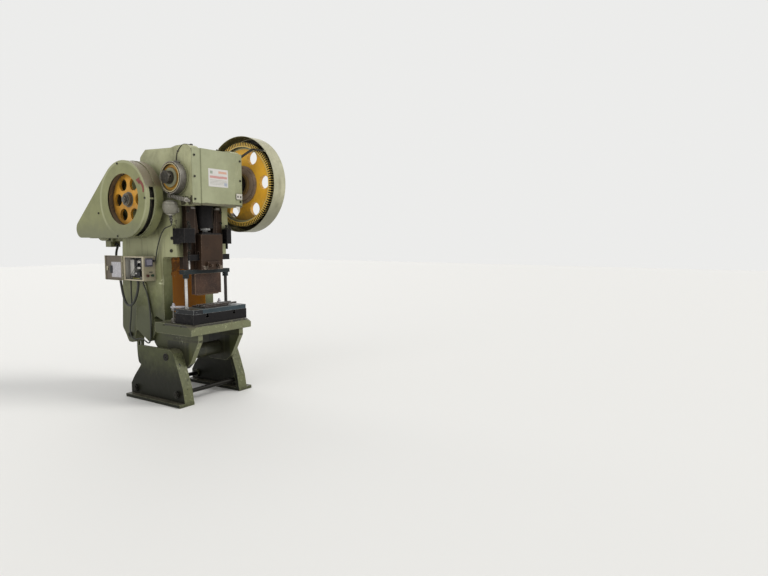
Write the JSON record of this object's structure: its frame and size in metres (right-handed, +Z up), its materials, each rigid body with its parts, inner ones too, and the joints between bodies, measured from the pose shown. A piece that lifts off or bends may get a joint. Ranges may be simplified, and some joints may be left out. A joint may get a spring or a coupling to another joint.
{
  "type": "mechanical stamping press",
  "caption": "Open-back inclinable geared crank stamping press with gear and flywheel guards, band brake, control box and a pillar die set.",
  "frame": {"origin": "Floor point amid the four anchor bolts, on the underside of the two feet.", "axes": "+Z up; the operator stands on the -Y side; +X toward the bull gear's side, so the flywheel is on the -X side."},
  "size_m": [1.2301, 1.8259, 2.6919],
  "materials": {
    "green_paint": "sage green machine enamel, chipped at the edges, oily and dusty",
    "yellow_paint": "orange-yellow enamel on wheel webs, worn to grey on the rims",
    "brown_paint": "dark red-brown enamel under a film of oil",
    "black_cast": "blackened cast iron and oiled dark steel, dull",
    "machined_steel": "turned and ground steel with an oil film",
    "fastener_steel": "blackened bolts and nuts with bare edges",
    "bronze": "bearing bronze, turned",
    "die_blue": "blue-green paint on the die plates, worn through at the edges",
    "rusty_steel": "brown rusted tool steel",
    "box_beige": "beige enamel sheet, scuffed",
    "cord_black": "black sheathed cords and belts, matt",
    "bright_steel": "bright ground pillars and clamp parts",
    "dark_plastic": "black electrical housings",
    "green_plastic": "green push button",
    "red_plastic": "red push button"
  },
  "bodies": {
    "base": {"left_leg": "green_paint", "right_leg": "green_paint", "tie_bars": "fastener_steel", "pivot_shaft": "machined_steel", "tilt_quadrants": "green_paint"},
    "frame": {"frame_casting": "green_paint", "tilt_lock_bolts": "fastener_steel", "bolster": "black_cast", "gibs": "brown_paint", "knockout_brackets": "black_cast", "knockout_screws": "fastener_steel", "front_cover": "green_paint", "frame_screws": "fastener_steel", "crank_bushes": "bronze", "brake_band": "machined_steel", "brake_lining": "box_beige", "brake_bolt": "fastener_steel", "brake_spring": "fastener_steel", "air_bowl": "machined_steel", "flywheel_guard": "green_paint", "guard_back": "green_paint", "gear_guard": "green_paint", "shaft_bushes": "bronze", "motor_plate": "green_paint", "motor": "green_paint", "terminal_box": "green_paint", "v_belts": "cord_black", "control_box": "box_beige", "panel_meter": "dark_plastic", "contactors": "dark_plastic", "cable_glands": "dark_plastic", "motor_lead": "cord_black", "column_lead": "cord_black", "brake_lead": "cord_black", "die_base": "die_blue", "guide_pillars": "bright_steel", "die_clamps": "bright_steel"},
    "crank": {"crankshaft": "black_cast", "brake_drum": "yellow_paint", "clutch_ring": "black_cast"},
    "conrod": {"connecting_rod": "black_cast", "rod_cap": "black_cast", "rod_bolts": "fastener_steel", "adjusting_screw": "machined_steel"},
    "slide": {"ram": "brown_paint", "ball_cap": "machined_steel", "ball_seat": "bronze", "tool_clamp": "brown_paint", "upper_plate": "die_blue", "punch_block": "rusty_steel"},
    "knockout": {"knockout_bar": "brown_paint"},
    "gear": {"bull_gear": "yellow_paint", "clutch_cover": "brown_paint"},
    "flywheel_body": {"flywheel": "yellow_paint", "back_shaft": "machined_steel", "pinion": "machined_steel"},
    "motor_rotor": {"motor_pulley": "machined_steel"},
    "door": {"box_door": "box_beige"},
    "start": {"start_button": "green_plastic"},
    "stop": {"stop_button": "red_plastic"}
  },
  "joints": [
    {"name": "frame_tilt", "type": "hinge", "parent": "base", "child": "frame", "pos_m": [0, -0.151, 0.458], "axis": [-1, 0, 0], "range_deg": [0, 20]},
    {"name": "crank_turn", "type": "hinge", "parent": "frame", "child": "crank", "pos_m": [0, -0.29, 2.187], "axis": [-1, 0, 0], "range_deg": [0, 180]},
    {"name": "conrod_swing", "type": "hinge", "parent": "crank", "child": "conrod", "pos_m": [0, -0.29, 2.237], "axis": [-1, 0, 0], "range_deg": [-180, 0]},
    {"name": "slide_stroke", "type": "slide", "parent": "frame", "child": "slide", "axis": [0, 0, -1], "range_m": [0, 0.1]},
    {"name": "knockout_lift", "type": "slide", "parent": "slide", "child": "knockout", "axis": [0, 0, 1], "range_m": [0, 0.03]},
    {"name": "gear_spin", "type": "hinge", "parent": "frame", "child": "gear", "pos_m": [0, -0.29, 2.187], "axis": [-1, 0, 0], "continuous": true},
    {"name": "flywheel_spin", "type": "hinge", "parent": "frame", "child": "flywheel_body", "pos_m": [0, 0.18258, 1.99], "axis": [-1, 0, 0], "continuous": true},
    {"name": "motor_spin", "type": "hinge", "parent": "frame", "child": "motor_rotor", "pos_m": [0, 0.907, 1.711], "axis": [-1, 0, 0], "continuous": true},
    {"name": "door_hinge", "type": "hinge", "parent": "frame", "child": "door", "pos_m": [-0.453, 0.42, 1.316], "axis": [0, 0, 1], "range_deg": [0, 180]},
    {"name": "start_push", "type": "slide", "parent": "frame", "child": "start", "axis": [0, 1, 0], "range_m": [0, 0.005], "stiffness_N_per_m": 600},
    {"name": "stop_push", "type": "slide", "parent": "frame", "child": "stop", "axis": [0, 1, 0], "range_m": [0, 0.005], "stiffness_N_per_m": 600}
  ],
  "couplings": [
    {"joint": "conrod_swing", "follows": "crank_turn", "ratio": -1},
    {"joint": "slide_stroke", "follows": "crank_turn", "m_per_rad": 0.031831},
    {"joint": "flywheel_spin", "follows": "gear_spin", "ratio": -5.7368},
    {"joint": "motor_spin", "follows": "gear_spin", "ratio": -33.192}
  ]
}
